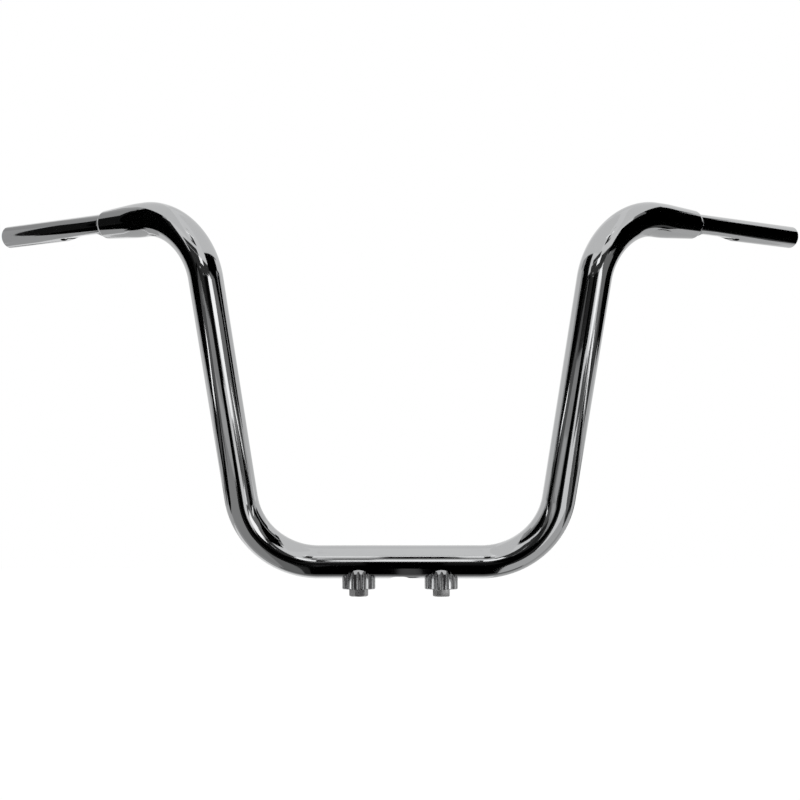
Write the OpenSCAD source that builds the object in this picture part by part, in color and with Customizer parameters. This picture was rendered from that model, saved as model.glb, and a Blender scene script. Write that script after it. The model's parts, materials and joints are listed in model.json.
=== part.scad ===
// Ape hanger handlebar for a motorbike: a thick bent tube with swaged noses, a thinner grip
// end welded into each nose, and two fluted bosses that bolt straight onto the fork's top clamp.
// Millimetres. The origin lies midway between the mounting faces of the two bosses, Z up.
// The front is -Y and the grips sweep back toward +Y. Left and right are as seen from the front.

/* [Main tube] */
// Outside diameter of the main tube
tube_d = 38.1; // [34:0.1:44]
// Wall of the main tube
tube_wall = 2.4; // [1.6:0.1:3]
// Width of the base between the lower corners of the centre line
base_w = 344; // [305:1:460]
// Length of an upright between the corners of its centre line
leg_len = 403; // [220:1:560]
// Outward lean of an upright in degrees
leg_splay = 6.9; // [0:0.1:20]
// Forward lean of an upright in degrees
leg_lean = 20.2; // [0:0.1:35]
// Length of an arm from the upper corner of the centre line to its open end
arm_len = 296; // [285:1:360]
// Backward sweep of an arm in degrees
arm_sweep = 32; // [0:0.5:50]
// Upward slope of an arm in degrees
arm_rise = 2.4; // [-5:0.1:12]
// Centre line radius of the lower bends
lower_bend_r = 88; // [60:1:108]
// Centre line radius of the upper bends
upper_bend_r = 68; // [50:1:78]

/* [Swaged noses] */
// Length of the taper from the main tube down to the nose
taper_len = 38; // [20:1:50]
// Outside diameter at the small end of the taper
nose_d = 32; // [30.5:0.1:33.5]
// Rounding of the nose
nose_round = 6; // [3:0.5:8]

/* [Grip ends] */
// Outside diameter of a grip end
end_d = 25.4; // [22:0.1:26]
// Wall of a grip end
end_wall = 2; // [1.2:0.1:3]
// Length of a grip end outside the nose
end_len = 160; // [135:1:170]
// Depth that a grip end sits inside the nose
end_insert = 14; // [8:1:25]
// Bevel round the open end
end_bevel = 0.6; // [0.2:0.1:1]
// Depth of the flat that is pressed into the underside for the wires
press_depth = 3.8; // [2:0.1:4.5]
// Distance from the open end to the middle of the pressed flat's run-in
press_start = 113; // [106:1:128]
// Radius of the press tool at the run-in
press_in_r = 46; // [36:1:90]
// Radius of the press tool at the nose
press_out_r = 6; // [4.5:0.5:12]
// Turn of the pressed flat from the underside toward the back in degrees
press_turn = 14; // [0:1:30]
// Width of the wire slot
slot_w = 5; // [3:0.1:7]
// Length of the wire slot
slot_len = 9; // [7.5:0.1:12]
// Distance from the open end to the middle of the wire slot
slot_at = 98; // [60:1:104]
// Turn of the wire slot from the underside toward the front in degrees
slot_turn = 15; // [0:1:60]

/* [Mounting bosses] */
// Distance between the axes of the two bosses
boss_spacing = 95.25; // [80:0.05:102]
// Diameter of a boss over its ribs
boss_d = 38.1; // [34:0.1:40]
// Distance that a boss stands below the tube
boss_drop = 12; // [8:0.5:20]
// Height of the straight fluted part
flute_h = 17.2; // [14:0.1:18.5]
// Number of flutes round a boss
flutes = 18; // [12:1:20]
// Depth of a flute
flute_depth = 1.3; // [0.6:0.1:1.8]
// Radius of the cutter that makes a flute
flute_r = 2.2; // [1.9:0.1:2.6]
// Lean of the shoulder above the flutes from the axis in degrees
shoulder_lean = 24; // [15:1:40]
// Bevel round the mounting face
boss_bevel = 0.7; // [0.3:0.1:1.5]
// Diameter of the spigot that passes through the wall of the tube
spigot_d = 24; // [18:0.5:26]
// Height of the spigot's top above the lowest inside line of the tube
spigot_rise = 8; // [6:0.5:12]

/* [Bolts] */
// Thread diameter of a bolt
bolt_d = 12.7; // [10:0.1:14]
// Length of a bolt under its head
bolt_len = 25.4; // [15:0.1:32]
// Height of a bolt's head
head_h = 8.5; // [6:0.1:12]
// Width of a bolt's head across its flats
head_af = 19.05; // [17:0.05:22]
// Thickness of the round face under a bolt's head
face_h = 0.4; // [0.2:0.1:0.8]
// Turn of the left bolt's head in degrees
left_turn = 9; // [0:1:59]
// Turn of the right bolt's head in degrees
right_turn = 30; // [0:1:59]

/* [Wire outlet] */
// Length of the outlet in the underside of the base
outlet_len = 24; // [18:0.5:34]
// Width of the outlet
outlet_w = 17.5; // [10:0.5:20]

/* [Fits] */
// Clearance at each welded seat
weld_gap = 0.1; // [0.05:0.05:0.3]
// Radial clearance between the threads of a bolt and a boss
thread_gap = 0.15; // [0.1:0.05:0.3]

/* [Hidden] */
$fn = 96;

// How far a cutter runs past the face that it opens
past = 1;
tube_r = tube_d / 2;
tube_bore_r = tube_r - tube_wall;
axis_z = boss_drop + tube_r;

// The centre line: corner points and the directions of its straight runs, right side
leg_dir = [sin(leg_splay), -cos(leg_splay) * sin(leg_lean), cos(leg_splay) * cos(leg_lean)];
arm_dir = [cos(arm_rise) * cos(arm_sweep), cos(arm_rise) * sin(arm_sweep), sin(arm_rise)];
lower_corner = [base_w / 2, 0, axis_z];
upper_corner = lower_corner + leg_len * leg_dir;
arm_end = upper_corner + arm_len * arm_dir;

lower_turn = acos([1, 0, 0] * leg_dir);
upper_turn = acos(leg_dir * arm_dir);
// Length of centre line that each bend takes from the straight runs on either side of it
lower_take = lower_bend_r * tan(lower_turn / 2);
upper_take = upper_bend_r * tan(upper_turn / 2);
// Turn about the upright from the plane of the lower bend to the plane of the upper one
upper_inward = unit(arm_dir - leg_dir * arm_dir * leg_dir);
lower_plane_x = unit([-1, 0, 0] + leg_dir.x * leg_dir);
plane_turn = atan2(cross(leg_dir, lower_plane_x) * upper_inward, lower_plane_x * upper_inward);
// A bend draws the bar thinner by this much, and reaches this far into the straight runs it joins
bend_draw = 0.1;
bend_lap = 1;

// The nose and the straight stretch before its taper
end_r = end_d / 2;
nose_r = nose_d / 2;
nose_len = nose_round + taper_len;
// A grip end is turned down a little where it sits in the nose, from just outside it
seat_r = end_r - 0.2;
seat_start = end_len - 0.5;
socket_r = seat_r + weld_gap;
// Its open end is reamed this deep, wider than the rest of the bore by this much, for a plug
ream_len = 60;
ream_depth = 0.15;
arm_straight = arm_len - upper_take - end_len - nose_len;

// The pressed flat
press_flat = end_r - press_depth;
// Slopes, in degrees, at which the rounds of the press tool meet the flat
press_in_slope = 3;
press_out_slope = 15;
press_out_rise = press_out_r * cos(press_out_slope);
press_out_run = press_out_r * sin(press_out_slope);
press_out_reach = sqrt(press_out_r * press_out_r - pow(press_out_rise - press_depth, 2));
// The press leaves a round stretch this long in front of the nose
press_clear = 1.5;
press_end = end_len - press_clear + press_out_run - press_out_reach;
// Direction that faces down square to the right arm
arm_down = unit([0, 0, -1] + arm_dir.z * arm_dir);

// The boss
boss_r = boss_d / 2;
spigot_top = boss_drop + tube_wall + spigot_rise;
bolt_bore_r = bolt_d / 2 + thread_gap;

// Chamfer of a bolt's head, whose flat end is a little narrower than its flats
head_corner_r = head_af / sqrt(3);
head_end_r = 0.95 * head_af / 2;
head_chamfer = 30;
bolt_tip = 1;

// Unit vector along v
function unit(v) = v / norm(v);

module both_sides() {
    children();
    mirror([1, 0, 0]) children();
}

// Straight round bar along Z, with children where it ends
module straight(length, radius) {
    cylinder(h = length, r = radius);
    translate([0, 0, length]) children();
}

// Bend that starts along Z and turns toward X, with children where it ends
module bend(turn, bend_r, radius) {
    lap_turn = bend_lap / bend_r * 180 / PI;
    translate([bend_r, 0, 0]) {
        rotate([90, 0, 180]) rotate(-lap_turn) rotate_extrude(angle = turn + 2 * lap_turn)
            translate([bend_r, 0]) circle(r = radius - bend_draw);
        rotate([0, turn, 0]) translate([-bend_r, 0, 0]) children();
    }
}

// The right half of the bent bar with the given radius, and children where its taper starts
module half_bar(radius) {
    translate([0, 0, axis_z]) rotate([leg_lean, 0, 0]) rotate([180, -90, 0])
        straight(base_w / 2 - lower_take, radius)
        bend(lower_turn, lower_bend_r, radius)
        straight(leg_len - lower_take - upper_take, radius)
        rotate(plane_turn)
        bend(upper_turn, upper_bend_r, radius)
        straight(arm_straight, radius)
        children();
}

// Moves children to the open end of the right arm, with Z inward and X down
module at_arm_end() {
    side = cross(-arm_dir, arm_down);
    multmatrix([[arm_down.x, side.x, -arm_dir.x, arm_end.x],
                [arm_down.y, side.y, -arm_dir.y, arm_end.y],
                [arm_down.z, side.z, -arm_dir.z, arm_end.z],
                [0, 0, 0, 1]]) children();
}

// Taper and rounded nose, solid, outward along Z
module taper_outside() {
    round_x = nose_r - nose_round;
    rotate_extrude() {
        polygon([[0, 0], [tube_r, 0], [nose_r, taper_len], [0, taper_len]]);
        translate([0, taper_len]) square([round_x, nose_round]);
        intersection() {
            translate([round_x, taper_len]) circle(r = nose_round);
            translate([round_x, taper_len]) square([nose_round, nose_round]);
        }
    }
}

// Space inside the taper, with the socket that the grip end sits in
module taper_inside() {
    socket_z = nose_len - end_insert;
    rotate_extrude()
        polygon([[0, 0], [tube_bore_r, 0], [nose_r - tube_wall, socket_z], [socket_r, socket_z],
                 [socket_r, nose_len + past], [0, nose_len + past]]);
}

// Flat outline with round ends, its length along Y
module slot_outline(length, width) {
    reach = (length - width) / 2;
    square([width, 2 * reach], center = true);
    for (end = [-1, 1]) translate([0, end * reach]) circle(d = width);
}

module bent_tube() {
    color("gainsboro") difference() {
        both_sides() half_bar(tube_r) taper_outside();
        both_sides() half_bar(tube_bore_r) taper_inside();
        translate([0, 0, axis_z - tube_r - past]) rotate(90)
            linear_extrude(tube_r) slot_outline(outlet_len, outlet_w);
        both_sides() translate([boss_spacing / 2, 0, 0])
            cylinder(h = axis_z, r = spigot_d / 2 + weld_gap);
    }
}

// Space that the press takes out of the underside of a grip end, or out of its bore at the drop
module press_cutter(drop = 0) {
    rotate(-press_turn) translate([-drop, 0, 0]) rotate([90, 0, 0])
        linear_extrude(end_d + 2 * past, center = true) {
        intersection() {
            translate([press_flat + press_in_r * cos(press_in_slope),
                       press_start + press_in_r * sin(press_in_slope)]) circle(r = press_in_r);
            translate([press_flat, press_start - press_in_r]) square([end_r, press_in_r]);
        }
        translate([press_flat, press_start]) square([end_r, press_end - press_start]);
        intersection() {
            translate([press_flat + press_out_rise, press_end - press_out_run]) circle(r = press_out_r);
            translate([press_flat, press_end]) square([press_out_r, press_out_r]);
        }
    }
}

module end_tube() {
    full_len = end_len + end_insert - weld_gap;
    at_arm_end() difference() {
        rotate_extrude() polygon([[0, 0], [end_r - end_bevel, 0], [end_r, end_bevel], [end_r, seat_start],
                                  [seat_r, seat_start], [seat_r, full_len], [0, full_len]]);
        press_cutter();
        translate([0, 0, -past]) cylinder(h = ream_len + past, r = end_r - end_wall + ream_depth);
        difference() {
            translate([0, 0, -past]) cylinder(h = full_len + 2 * past, r = end_r - end_wall);
            press_cutter(end_wall);
        }
        rotate(slot_turn) translate([0, 0, slot_at]) rotate([0, 90, 0]) rotate(90)
            linear_extrude(end_d) slot_outline(slot_len, slot_w);
    }
}

module left_end_tube() {
    color("silver") mirror([1, 0, 0]) end_tube();
}

module right_end_tube() {
    color("silver") end_tube();
}

// Fluted boss, coped to the tube, with its mounting face at the origin
module boss() {
    shoulder_h = axis_z - flute_h;
    shoulder_top_r = boss_r - shoulder_h * tan(shoulder_lean);
    difference() {
        union() {
            difference() {
                rotate_extrude() polygon([[0, 0], [boss_r - boss_bevel, 0], [boss_r, boss_bevel],
                                          [boss_r, flute_h], [shoulder_top_r, axis_z], [0, axis_z]]);
                for (i = [0:flutes - 1])
                    rotate(i * 360 / flutes - 90) translate([boss_r + flute_r - flute_depth, 0, -past])
                        cylinder(h = axis_z + 2 * past, r = flute_r);
                translate([0, 0, axis_z]) rotate([0, 90, 0])
                    cylinder(h = 2 * boss_d, r = tube_r + weld_gap, center = true);
            }
            translate([0, 0, boss_drop / 2]) cylinder(h = spigot_top - boss_drop / 2, r = spigot_d / 2);
        }
        translate([0, 0, -past]) cylinder(h = spigot_top + 2 * past, r = bolt_bore_r);
    }
}

module left_boss() {
    color("lightgray") translate([-boss_spacing / 2, 0, 0]) boss();
}

module right_boss() {
    color("lightgray") translate([boss_spacing / 2, 0, 0]) boss();
}

// Hexagon screw, its head below the origin and its thread above
module bolt(turn) {
    intersection() {
        translate([0, 0, -head_h]) rotate(turn)
            cylinder(h = head_h - face_h, r = head_corner_r, $fn = 6);
        rotate_extrude() polygon([[0, -head_h], [head_end_r, -head_h],
                                  [head_corner_r, -head_h + (head_corner_r - head_end_r) * tan(head_chamfer)],
                                  [head_corner_r, 0], [0, 0]]);
    }
    rotate_extrude() polygon([[0, -head_h / 2], [head_end_r, -head_h / 2], [head_end_r, 0],
                              [bolt_d / 2, 0], [bolt_d / 2, bolt_len - bolt_tip],
                              [bolt_d / 2 - bolt_tip, bolt_len], [0, bolt_len]]);
}

module left_bolt() {
    color("darkgray") translate([-boss_spacing / 2, 0, 0]) bolt(left_turn);
}

module right_bolt() {
    color("darkgray") translate([boss_spacing / 2, 0, 0]) bolt(right_turn);
}

bent_tube();
left_end_tube();
right_end_tube();
left_boss();
right_boss();
left_bolt();
right_bolt();
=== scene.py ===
"""Looks of the chromed ape hanger handlebar: smooth main tube, studio, camera and finishes, with painted
shade in the tones of the bosses and bolts.

Metres, in the frame of the CAD part: front is -Y, Z is up, and the origin lies midway between
the mounting faces of the two bosses.
"""
import json
import math

import bpy
from mathutils import Matrix, Vector
from mathutils.kdtree import KDTree

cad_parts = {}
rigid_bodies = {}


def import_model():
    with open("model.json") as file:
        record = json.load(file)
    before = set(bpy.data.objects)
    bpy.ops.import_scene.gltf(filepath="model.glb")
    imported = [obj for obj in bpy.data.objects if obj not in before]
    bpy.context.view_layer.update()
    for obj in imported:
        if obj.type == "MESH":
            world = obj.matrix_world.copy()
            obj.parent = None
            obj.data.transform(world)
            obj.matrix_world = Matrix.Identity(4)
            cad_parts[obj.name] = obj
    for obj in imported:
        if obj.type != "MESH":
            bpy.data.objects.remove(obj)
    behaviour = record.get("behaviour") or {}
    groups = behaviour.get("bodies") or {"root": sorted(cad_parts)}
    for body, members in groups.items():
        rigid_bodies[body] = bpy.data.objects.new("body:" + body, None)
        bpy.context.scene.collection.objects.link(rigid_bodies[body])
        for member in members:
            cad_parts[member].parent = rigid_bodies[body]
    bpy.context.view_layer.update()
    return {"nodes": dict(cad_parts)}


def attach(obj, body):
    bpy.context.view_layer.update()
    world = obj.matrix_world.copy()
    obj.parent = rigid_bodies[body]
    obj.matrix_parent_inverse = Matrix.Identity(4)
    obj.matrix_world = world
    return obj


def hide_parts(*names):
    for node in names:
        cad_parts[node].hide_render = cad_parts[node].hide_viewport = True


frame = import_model()
MM = 0.001


# Camera: a little above the base of the bar and tilted up, as in the photo

LENS_MM = 54.0
SENSOR_MM = 36.0
CAMERA_PLACE = (0.0, -1.401, 0.066)
CAMERA_TILT = math.radians(96.25)

camera_data = bpy.data.cameras.new("camera")
camera_data.lens = LENS_MM
camera_data.sensor_width = SENSOR_MM
camera = bpy.data.objects.new("camera", camera_data)
camera.location = CAMERA_PLACE
camera.rotation_euler = (CAMERA_TILT, 0.0, 0.0)
bpy.context.collection.objects.link(camera)
bpy.context.scene.camera = camera
bpy.context.scene.view_settings.view_transform = "Standard"


# Node helpers

def new_material(name):
    """Empty node material, with its nodes and links."""
    material = bpy.data.materials.new(name)
    material.use_nodes = True
    material.node_tree.nodes.clear()
    return material, material.node_tree.nodes, material.node_tree.links


def seen_rays(nodes, links):
    """1 for the rays that show a background: the camera's, and those off metal or through glass."""
    path = nodes.new("ShaderNodeLightPath")
    first = nodes.new("ShaderNodeMath")
    first.operation = "MAXIMUM"
    links.new(path.outputs["Is Camera Ray"], first.inputs[0])
    links.new(path.outputs["Is Glossy Ray"], first.inputs[1])
    second = nodes.new("ShaderNodeMath")
    second.operation = "MAXIMUM"
    links.new(first.outputs[0], second.inputs[0])
    links.new(path.outputs["Is Transmission Ray"], second.inputs[1])
    return second.outputs[0]


def shining(nodes, kind, level, strength):
    """Emission or background node of one grey level."""
    node = nodes.new(kind)
    node.inputs["Color"].default_value = (level, level, level, 1)
    node.inputs["Strength"].default_value = strength
    return node


# World: white where it is seen, and a soft light all round

SOFT_LIGHT = 0.7
SEEN_WHITE = 1.0

world = bpy.data.worlds.new("world")
world.use_nodes = True
bpy.context.scene.world = world
nodes, links = world.node_tree.nodes, world.node_tree.links
nodes.clear()
soft = shining(nodes, "ShaderNodeBackground", 1, SOFT_LIGHT)
white = shining(nodes, "ShaderNodeBackground", 1, SEEN_WHITE)
mix = nodes.new("ShaderNodeMixShader")
out = nodes.new("ShaderNodeOutputWorld")
links.new(seen_rays(nodes, links), mix.inputs[0])
links.new(soft.outputs[0], mix.inputs[1])
links.new(white.outputs[0], mix.inputs[2])
links.new(mix.outputs[0], out.inputs["Surface"])


# Floor: matt where light falls on it, and mostly white where it is seen

FLOOR_Z = -0.9
FLOOR_HALF = 30.0
FLOOR_TONE = 0.82
FLOOR_GLOW = 1.16
GLOW_SHARE = 0.75


def quad(name, corners):
    """Flat four-cornered piece of the studio."""
    mesh = bpy.data.meshes.new(name)
    mesh.from_pydata([Vector(c) for c in corners], [], [(0, 1, 2, 3)])
    mesh.update()
    obj = bpy.data.objects.new(name, mesh)
    bpy.context.collection.objects.link(obj)
    return obj


SQUARE = ((-1, -1), (1, -1), (1, 1), (-1, 1))
floor = quad("floor", [(x * FLOOR_HALF, y * FLOOR_HALF, FLOOR_Z) for x, y in SQUARE])
material, nodes, links = new_material("pale_floor")
matt = nodes.new("ShaderNodeBsdfDiffuse")
matt.inputs["Color"].default_value = (FLOOR_TONE, FLOOR_TONE, FLOOR_TONE, 1)
glow = shining(nodes, "ShaderNodeEmission", 1, FLOOR_GLOW)
share = nodes.new("ShaderNodeMath")
share.operation = "MULTIPLY"
share.inputs[1].default_value = GLOW_SHARE
links.new(seen_rays(nodes, links), share.inputs[0])
mix = nodes.new("ShaderNodeMixShader")
out = nodes.new("ShaderNodeOutputMaterial")
links.new(share.outputs[0], mix.inputs[0])
links.new(matt.outputs[0], mix.inputs[1])
links.new(glow.outputs[0], mix.inputs[2])
links.new(mix.outputs[0], out.inputs["Surface"])
floor.data.materials.append(material)


# Studio cards

def card(name, level, x, y, z):
    """Flat card that only reflections show. One of x, y and z is a number, the others are ranges."""
    if not isinstance(x, tuple):
        corners = [(x, y[0], z[0]), (x, y[1], z[0]), (x, y[1], z[1]), (x, y[0], z[1])]
    elif not isinstance(y, tuple):
        corners = [(x[0], y, z[0]), (x[1], y, z[0]), (x[1], y, z[1]), (x[0], y, z[1])]
    else:
        corners = [(x[0], y[0], z), (x[1], y[0], z), (x[1], y[1], z), (x[0], y[1], z)]
    obj = quad(name, corners)
    obj.visible_camera = False
    obj.visible_diffuse = False
    obj.visible_shadow = False
    material, nodes, links = new_material(name)
    glow = shining(nodes, "ShaderNodeEmission", level, 1.0)
    out = nodes.new("ShaderNodeOutputMaterial")
    links.new(glow.outputs[0], out.inputs["Surface"])
    obj.data.materials.append(material)


# Name, level and extent of each card. Dark ones draw the chrome's dark bands, bright ones its streaks.
# The rear ones serve the views from behind, and the glints the flutes of the bosses. Those five were
# listed one by one. The other 50 rows are the output of a separate program, which fitted the levels and
# extents to the brightness of the photo's reflections. They aren't a lighting plan made by hand.
CARDS = (
    ("right_1", 0.00, 1.010, (-0.573, 0.254), (-0.334, 3.646)),
    ("below_1", 0.03, (-6.037, 0.464), (-6.784, 0.218), -0.888),
    ("left_1", 0.01, -0.747, (-0.823, -0.050), (-0.088, 0.844)),
    ("below_2", 0.37, (-10.70, -0.25), (-1.851, 0.466), -0.696),
    ("below_3", 0.62, (0.23, 7.89), (-0.492, 8.643), -0.580),
    ("below_4", 0.00, (-0.21, 0.26), (-9.692, 0.038), -0.884),
    ("left_2", 0.52, -0.949, (-0.976, 0.706), (-0.202, 2.674)),
    ("right_2", 0.00, 0.995, (-1.647, 0.401), (0.137, 1.018)),
    ("front_1", 0.05, (-1.277, 1.498), -1.726, (-0.204, 0.346)),
    ("right_3", 0.24, 0.704, (-1.124, -0.278), (-0.010, 0.200)),
    ("right_4", 0.16, 0.991, (-0.937, 0.190), (-0.591, -0.330)),
    ("left_3", 0.83, -0.941, (0.194, 2.058), (0.017, 1.094)),
    ("front_2", 0.01, (-0.059, 0.178), -1.926, (0.898, 1.621)),
    ("left_4", 0.00, -0.836, (-1.468, 0.102), (-0.276, -0.011)),
    ("right_5", 0.65, 0.735, (-0.013, 0.368), (-0.013, 0.143)),
    ("right_6", 1.76, 0.885, (-2.424, -0.986), (-0.670, -0.080)),
    ("left_5", 0.13, -0.733, (-1.094, -0.436), (-0.326, -0.013)),
    ("above_1", 0.22, (-0.342, 0.503), (-4.398, -3.207), 1.582),
    ("below_5", 0.47, (-20.43, 0.90), (0.098, 0.368), -0.492),
    ("front_3", 1.68, (-0.175, 0.184), -1.603, (0.128, 0.354)),
    ("front_4", 0.01, (-0.236, 0.529), -1.560, (-0.637, -0.153)),
    ("left_6", 0.00, -0.620, (-0.446, -0.032), (0.075, 0.344)),
    ("below_6", 0.22, (-0.387, -0.231), (-1.155, 0.480), -0.677),
    ("right_7", 0.79, 0.726, (0.234, 4.282), (0.109, 0.781)),
    ("below_7", 0.01, (-0.427, -0.194), (-1.125, -0.744), -0.675),
    ("above_2", 0.90, (-0.44, 5.19), (0.922, 10.809), 2.974),
    ("below_8", 0.57, (-0.833, -0.259), (-1.114, -0.855), -0.506),
    ("left_7", 0.43, -0.722, (-0.102, 0.347), (0.615, 0.869)),
    ("below_9", 0.09, (-0.003, 0.036), (-0.614, 1.099), -0.631),
    ("front_5", 1.86, (-0.322, 0.340), -1.922, (1.478, 1.575)),
    ("front_6", 0.05, (-1.306, -0.071), -1.968, (0.363, 0.649)),
    ("left_8", 0.89, -0.518, (-2.966, 1.139), (0.712, 6.136)),
    ("right_8", 0.08, 0.980, (-0.595, 0.249), (-0.088, 0.020)),
    ("left_9", 0.61, -0.666, (0.069, 2.085), (-0.218, 0.034)),
    ("below_10", 0.13, (0.593, 1.097), (-1.150, -0.856), -0.484),
    ("left_10", 0.00, -0.714, (-0.587, -0.146), (0.133, 1.715)),
    ("right_9", 0.27, 1.317, (-1.390, 0.306), (-0.461, 3.968)),
    ("right_10", 0.93, 0.712, (0.036, 0.921), (0.542, 0.786)),
    ("front_7", 0.58, (0.307, 0.420), -1.261, (-0.066, -0.020)),
    ("front_8", 0.71, (-0.508, -0.390), -1.520, (-0.071, -0.028)),
    ("front_9", 0.00, (-0.073, 0.090), -1.114, (-0.450, -0.025)),
    ("left_11", 0.14, -0.562, (0.022, 0.168), (-0.028, 0.009)),
    ("right_11", 0.51, 0.692, (-0.292, 0.096), (-0.035, -0.001)),
    ("front_10", 0.40, (-0.595, -0.551), -0.642, (-0.039, -0.011)),
    ("right_12", 0.01, 0.578, (-0.090, 0.026), (-0.211, -0.004)),
    ("front_11", 0.34, (-0.261, -0.106), -1.151, (-0.053, -0.024)),
    ("left_12", 0.10, -0.546, (-0.251, -0.051), (-0.026, 0.025)),
    ("right_13", 0.92, 0.502, (-1.212, 0.728), (0.717, 6.101)),
    ("below_11", 0.19, (-0.275, 0.288), (0.046, 0.136), -0.301),
    ("front_12", 0.10, (-0.102, 0.324), -2.550, (2.688, 2.722)),
    ("rear_1", 0.02, (-0.900, 0.900), 3.000, (-0.300, 0.250)),
    ("rear_2", 0.02, (-2.600, -1.500), 2.990, (-0.850, 1.000)),
    ("rear_3", 0.02, (1.500, 2.600), 2.980, (-0.850, 1.000)),
    ("glint_1", 2.00, -0.700, (-0.480, -0.200), (-0.060, -0.020)),
    ("glint_2", 2.00, 0.700, (-0.480, -0.200), (-0.060, -0.020)),
)
for name, level, x, y, z in CARDS:
    card(name, level, x, y, z)


# Soft light from above, which reflections don't show

LIGHT_PLACE = Vector((0.0, 0.2, 2.4))
LIGHT_SIZE = 2.6
LIGHT_WATTS = 21.0

light_data = bpy.data.lights.new("top_light", "AREA")
light_data.shape = "RECTANGLE"
light_data.size = LIGHT_SIZE
light_data.size_y = LIGHT_SIZE
light_data.energy = LIGHT_WATTS
top_light = bpy.data.objects.new("top_light", light_data)
top_light.location = LIGHT_PLACE
top_light.rotation_euler = (-LIGHT_PLACE).to_track_quat("-Z", "Y").to_euler()
top_light.visible_glossy = False
bpy.context.collection.objects.link(top_light)


# Smooth main tube: the CAD part's centre line and sections, with exact normals. The rounded shoulder
# before each cone and the eased change into each bend are its own. They lie up to 0.45 mm inside the
# CAD part's surface.

TUBE_R = 19.05 * MM
BORE_R = 16.65 * MM
AXIS_Z = 31.05 * MM
HALF_BASE = 172.0 * MM
LEG_LEN = 403.0 * MM
ARM_LEN = 296.0 * MM
LOWER_BEND_R = 88.0 * MM
UPPER_BEND_R = 68.0 * MM
END_LEN = 160.0 * MM
TAPER_LEN = 38.0 * MM
NOSE_R = 16.0 * MM
NOSE_ROUND = 6.0 * MM
SOCKET_R = 12.6 * MM
SOCKET_START = 30.0 * MM
BORE_END_R = 13.6 * MM
# From the start of the cone, back toward the bend
SHOULDER_START = -14.0 * MM
SHOULDER_LEN = 16.0 * MM
SHOULDER_R = 18.495 * MM
BEND_DRAW = 0.1 * MM
OUTLET_LEN = 24.0 * MM
OUTLET_W = 17.5 * MM
BOSS_X = 47.625 * MM
SPIGOT_HOLE_R = 12.1 * MM
SPLAY = math.radians(6.9)
LEAN = math.radians(20.2)
SWEEP = math.radians(32.0)
RISE = math.radians(2.4)
SEGMENTS = 128
BEND_STEPS = 56
EASE_STEPS = 8
TAPER_STEPS = 16
HOLE_SEGMENTS = 64
# Extra rings near the wire outlet and the spigot holes, so that their cuts meet short faces
BASE_STOPS = (14 * MM, 34 * MM, 61 * MM)
# A corner of the cut tube this near to a corner of a ring is that corner
SAME_PLACE = 0.002 * MM
# A face whose normal agrees less than this with the tube's own belongs to a cut and stays flat
CUT_FACING = 0.6

base_dir = Vector((1, 0, 0))
leg_dir = Vector((math.sin(SPLAY), -math.cos(SPLAY) * math.sin(LEAN), math.cos(SPLAY) * math.cos(LEAN)))
arm_dir = Vector((math.cos(RISE) * math.cos(SWEEP), math.cos(RISE) * math.sin(SWEEP), math.sin(RISE)))
lower_take = LOWER_BEND_R * math.tan(base_dir.angle(leg_dir) / 2)
upper_take = UPPER_BEND_R * math.tan(leg_dir.angle(arm_dir) / 2)


def centre_line():
    """Stations from the middle of the base to the right taper.

    Each is a place, a direction, two side vectors and how much thinner the tube is there.
    """
    at = Vector((0, 0, AXIS_Z))
    along, u, v = base_dir.copy(), Vector((0, 1, 0)), Vector((0, 0, 1))
    stations = []

    def mark(thinner=0.0):
        stations.append((at.copy(), along.copy(), u.copy(), v.copy(), thinner))

    def run(length):
        nonlocal at
        at = at + along * length
        mark()

    def bend(toward, radius):
        nonlocal at, along, u, v
        turn = along.angle(toward)
        pole = along.cross(toward).normalized()
        centre = at + (toward - along * along.dot(toward)).normalized() * radius
        step = Matrix.Rotation(turn / BEND_STEPS, 3, pole)
        for i in range(1, BEND_STEPS + 1):
            at = centre + step @ (at - centre)
            along, u, v = step @ along, step @ u, step @ v
            mark(BEND_DRAW * min(1.0, i / EASE_STEPS, (BEND_STEPS - i) / EASE_STEPS))

    mark()
    reached = 0.0
    for stop in (*BASE_STOPS, HALF_BASE - lower_take):
        run(stop - reached)
        reached = stop
    bend(leg_dir, LOWER_BEND_R)
    run(LEG_LEN - lower_take - upper_take)
    bend(arm_dir, UPPER_BEND_R)
    run(ARM_LEN - upper_take - END_LEN - TAPER_LEN - NOSE_ROUND + SHOULDER_START)
    return stations


def taper_outside():
    """Rows of the shoulder, cone and nose.

    Each is a distance past the taper's start, a radius, and a normal's shares along and out.
    """
    rows = []
    slope = (NOSE_R - SHOULDER_R) / (TAPER_LEN - SHOULDER_START - SHOULDER_LEN)
    drop = SHOULDER_R - TUBE_R
    pull = slope * SHOULDER_LEN
    for i in range(1, TAPER_STEPS + 1):
        t = i / TAPER_STEPS
        radius = TUBE_R + (3 * drop - pull) * t ** 2 + (pull - 2 * drop) * t ** 3
        lean_here = (2 * (3 * drop - pull) * t + 3 * (pull - 2 * drop) * t ** 2) / SHOULDER_LEN
        rows.append((SHOULDER_START + t * SHOULDER_LEN, radius, -lean_here, 1.0))
    first = math.atan(-slope)
    last = math.acos(math.cos(first) - (NOSE_R - SOCKET_R) / NOSE_ROUND)
    for i in range(TAPER_STEPS + 1):
        angle = first + (last - first) * i / TAPER_STEPS
        rows.append((TAPER_LEN + NOSE_ROUND * (math.sin(angle) - math.sin(first)),
                     NOSE_R - NOSE_ROUND * (math.cos(first) - math.cos(angle)),
                     math.sin(angle), math.cos(angle)))
    return rows


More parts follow.
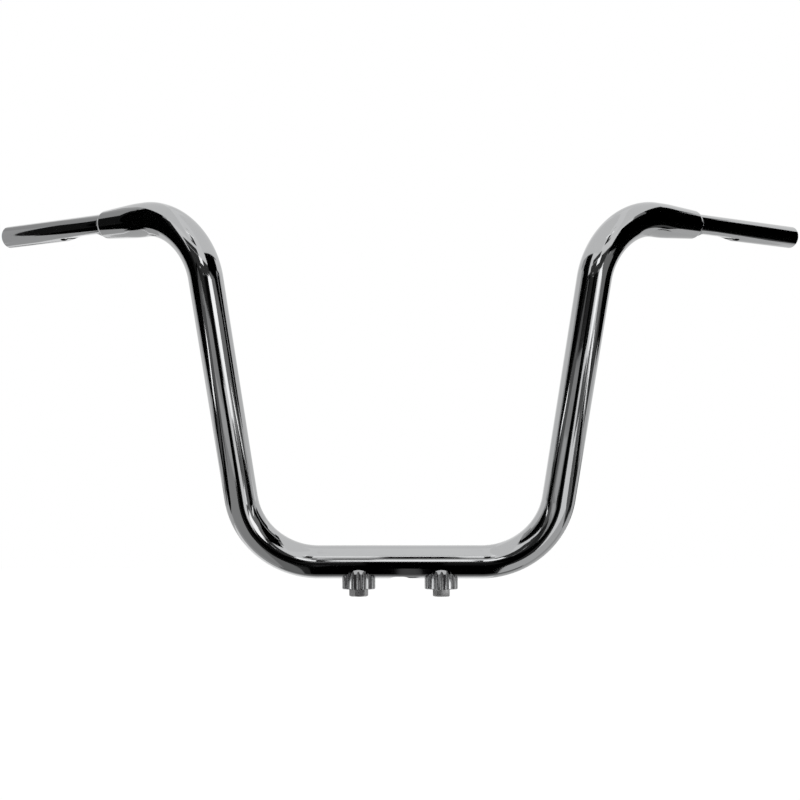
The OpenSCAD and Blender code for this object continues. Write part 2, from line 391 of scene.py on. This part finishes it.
def tube_rings():
    """Closed sequence of rings: along the outside to the right nose, back inside, and the same mirrored.

    Each is a place, a direction, two side vectors, a radius, and the normals of the faces before it
    and after it.
    """
    stations = centre_line()
    outward, inward = (0.0, 1.0), (0.0, -1.0)
    rings = [(*station[:4], TUBE_R - station[4], outward, outward) for station in stations]
    at, along, u, v = stations[-1][:4]
    at = at - along * SHOULDER_START
    for past, radius, n_along, n_out in taper_outside():
        rings.append((at + along * past, along, u, v, radius, (n_along, n_out), (n_along, n_out)))
    rings[-1] = (*rings[-1][:6], inward)
    bore_lean = (BORE_END_R - BORE_R) / SOCKET_START
    cone = (bore_lean, -1.0)
    rings.append((at + along * SOCKET_START, along, u, v, SOCKET_R, inward, (1.0, 0.0)))
    rings.append((at + along * SOCKET_START, along, u, v, BORE_END_R, (1.0, 0.0), cone))
    rings.append((at, along, u, v, BORE_R, cone, inward))
    rings += [(*station[:4], BORE_R - station[4], inward, inward) for station in reversed(stations[:-1])]
    flip = Matrix.Scale(-1, 3, Vector((1, 0, 0)))
    for at, along, u, v, radius, before, after in reversed(rings[1:-1]):
        rings.append((flip @ at, flip @ along, flip @ u, flip @ v, radius, after, before))
    return rings


def prism(name, outline, low, high):
    """Upright solid over a flat outline."""
    count = len(outline)
    corners = [(x, y, low) for x, y in outline] + [(x, y, high) for x, y in outline]
    faces = [tuple(range(count - 1, -1, -1)), tuple(range(count, 2 * count))]
    for i in range(count):
        j = (i + 1) % count
        faces.append((i, j, count + j, count + i))
    mesh = bpy.data.meshes.new(name)
    mesh.from_pydata(corners, [], faces)
    mesh.update()
    return mesh


def smooth_tube():
    """Main tube with its outlet and spigot holes cut, and exact normals on what the cuts leave."""
    rings = tube_rings()
    corners, normals_before, normals_after = [], [], []
    for at, along, u, v, radius, before, after in rings:
        for j in range(SEGMENTS):
            angle = 2 * math.pi * j / SEGMENTS
            out = u * math.cos(angle) + v * math.sin(angle)
            corners.append(at + out * radius)
            normals_before.append((along * before[0] + out * before[1]).normalized())
            normals_after.append((along * after[0] + out * after[1]).normalized())
    faces = []
    for k in range(len(rings)):
        here, there = k * SEGMENTS, (k + 1) % len(rings) * SEGMENTS
        for j in range(SEGMENTS):
            i = (j + 1) % SEGMENTS
            faces.append((here + j, here + i, there + i, there + j))
    mesh = bpy.data.meshes.new("whole_tube")
    mesh.from_pydata(corners, [], faces)
    mesh.update()
    whole = bpy.data.objects.new("whole_tube", mesh)
    bpy.context.collection.objects.link(whole)

    reach = (OUTLET_LEN - OUTLET_W) / 2
    arc = [2 * math.pi * (i + 0.5) / HOLE_SEGMENTS for i in range(HOLE_SEGMENTS)]
    slot = []
    for a in arc:
        shift = reach if math.cos(a) > 0 else -reach
        slot.append((math.cos(a) * OUTLET_W / 2 + shift, math.sin(a) * OUTLET_W / 2))
    cutters = [prism("cutter", slot, AXIS_Z - TUBE_R - MM, AXIS_Z - MM)]
    for side in (-1, 1):
        ring = [(side * BOSS_X + math.cos(a) * SPIGOT_HOLE_R, math.sin(a) * SPIGOT_HOLE_R) for a in arc]
        cutters.append(prism("cutter", ring, AXIS_Z - TUBE_R - MM, AXIS_Z))
    for cutter_mesh in cutters:
        cutter = bpy.data.objects.new("cutter", cutter_mesh)
        bpy.context.collection.objects.link(cutter)
        cut = whole.modifiers.new("cut", "BOOLEAN")
        cut.operation = "DIFFERENCE"
        cut.solver = "EXACT"
        cut.object = cutter
    bpy.context.view_layer.update()
    shown = whole.evaluated_get(bpy.context.evaluated_depsgraph_get())
    mesh = bpy.data.meshes.new_from_object(shown)
    for obj in [o for o in bpy.data.objects if o.name.startswith("cutter")] + [whole]:
        bpy.data.objects.remove(obj)

    tree = KDTree(len(corners))
    for i, corner in enumerate(corners):
        tree.insert(corner, i)
    tree.balance()
    mesh.polygons.foreach_set("use_smooth", [True] * len(mesh.polygons))
    loop_normals = [None] * len(mesh.loops)
    for polygon in mesh.polygons:
        flat = polygon.normal
        for loop in polygon.loop_indices:
            place = mesh.vertices[mesh.loops[loop].vertex_index].co
            _, i, distance = tree.find(place)
            if distance < SAME_PLACE:
                choices = [normals_before[i], normals_after[i]]
            else:
                out = Vector((0, place.y, place.z - AXIS_Z)).normalized()
                choices = [out, -out]
            best = max(choices, key=flat.dot)
            loop_normals[loop] = best if best.dot(flat) > CUT_FACING else flat.copy()
    mesh.normals_split_custom_set(loop_normals)
    mesh.name = "smooth_tube"
    obj = bpy.data.objects.new("smooth_tube", mesh)
    bpy.context.collection.objects.link(obj)
    return obj


tube = smooth_tube()
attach(tube, "root")
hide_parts("bent_tube")


# Finishes, with painted shade in the darker tones of the bosses and bolts

CLOUD_SCALE = 14.0
CLOUD_DETAIL = 3.0
CLOUD_RANGE = 0.04
MARK_SCALE = 90.0
MARK_DETAIL = 2.0
MARK_LOW = 0.3
MARK_HIGH = 0.7
WAVE_SCALE = 45.0
WAVE_DETAIL = 1.0
ROUGHNESS_SPREAD = 0.3


def noise(nodes, links, coords, scale, detail):
    """Cloudy texture fixed to the object. Returns its grey output."""
    node = nodes.new("ShaderNodeTexNoise")
    node.inputs["Scale"].default_value = scale
    node.inputs["Detail"].default_value = detail
    links.new(coords.outputs["Object"], node.inputs["Vector"])
    return node.outputs["Fac"]


def chrome(name, tone, roughness, ripple):
    """Plated metal whose tone and haze vary a little from place to place, over a faint ripple."""
    material, nodes, links = new_material(name)
    shader = nodes.new("ShaderNodeBsdfPrincipled")
    shader.inputs["Metallic"].default_value = 1.0
    out = nodes.new("ShaderNodeOutputMaterial")
    links.new(shader.outputs[0], out.inputs["Surface"])
    coords = nodes.new("ShaderNodeTexCoord")
    colour = nodes.new("ShaderNodeMix")
    colour.data_type = "RGBA"
    colour.inputs[6].default_value = (*[c * (1 - CLOUD_RANGE) for c in tone], 1)
    colour.inputs[7].default_value = (*[c * (1 + CLOUD_RANGE) for c in tone], 1)
    links.new(noise(nodes, links, coords, CLOUD_SCALE, CLOUD_DETAIL), colour.inputs[0])
    links.new(colour.outputs[2], shader.inputs["Base Color"])
    haze = nodes.new("ShaderNodeMapRange")
    haze.inputs["From Min"].default_value = MARK_LOW
    haze.inputs["From Max"].default_value = MARK_HIGH
    haze.inputs["To Min"].default_value = roughness * (1 - ROUGHNESS_SPREAD)
    haze.inputs["To Max"].default_value = roughness * (1 + ROUGHNESS_SPREAD)
    links.new(noise(nodes, links, coords, MARK_SCALE, MARK_DETAIL), haze.inputs["Value"])
    links.new(haze.outputs[0], shader.inputs["Roughness"])
    relief = nodes.new("ShaderNodeBump")
    relief.inputs["Strength"].default_value = 1.0
    relief.inputs["Distance"].default_value = ripple
    links.new(noise(nodes, links, coords, WAVE_SCALE, WAVE_DETAIL), relief.inputs["Height"])
    links.new(relief.outputs[0], shader.inputs["Normal"])
    return material


FINISHES_AND_PAINTED_SHADE = {
    "tube": chrome("tube_chrome_look", (0.50, 0.505, 0.51), 0.06, 0.01 * MM),
    "end": chrome("end_chrome_look", (0.50, 0.505, 0.51), 0.06, 0.01 * MM),
    # Bosses: the tube's chrome at a darker tone, which paints shade into their colour
    "boss": chrome("boss_chrome_painted_shade", (0.45, 0.455, 0.46), 0.05, 0.01 * MM),
    # Bolts: a rougher plating of their own, at a darker tone that paints shade into their colour
    "bolt": chrome("bolt_chrome_partly_painted_shade", (0.40, 0.40, 0.40), 0.24, 0.04 * MM),
}
NODE_FINISH = {
    "bent_tube": "tube",
    "left_end_tube": "end",
    "right_end_tube": "end",
    "left_boss": "boss",
    "right_boss": "boss",
    "left_bolt": "bolt",
    "right_bolt": "bolt",
}
for node, finish in NODE_FINISH.items():
    for slot in frame["nodes"][node].material_slots:
        slot.material = FINISHES_AND_PAINTED_SHADE[finish]
tube.data.materials.append(FINISHES_AND_PAINTED_SHADE["tube"])
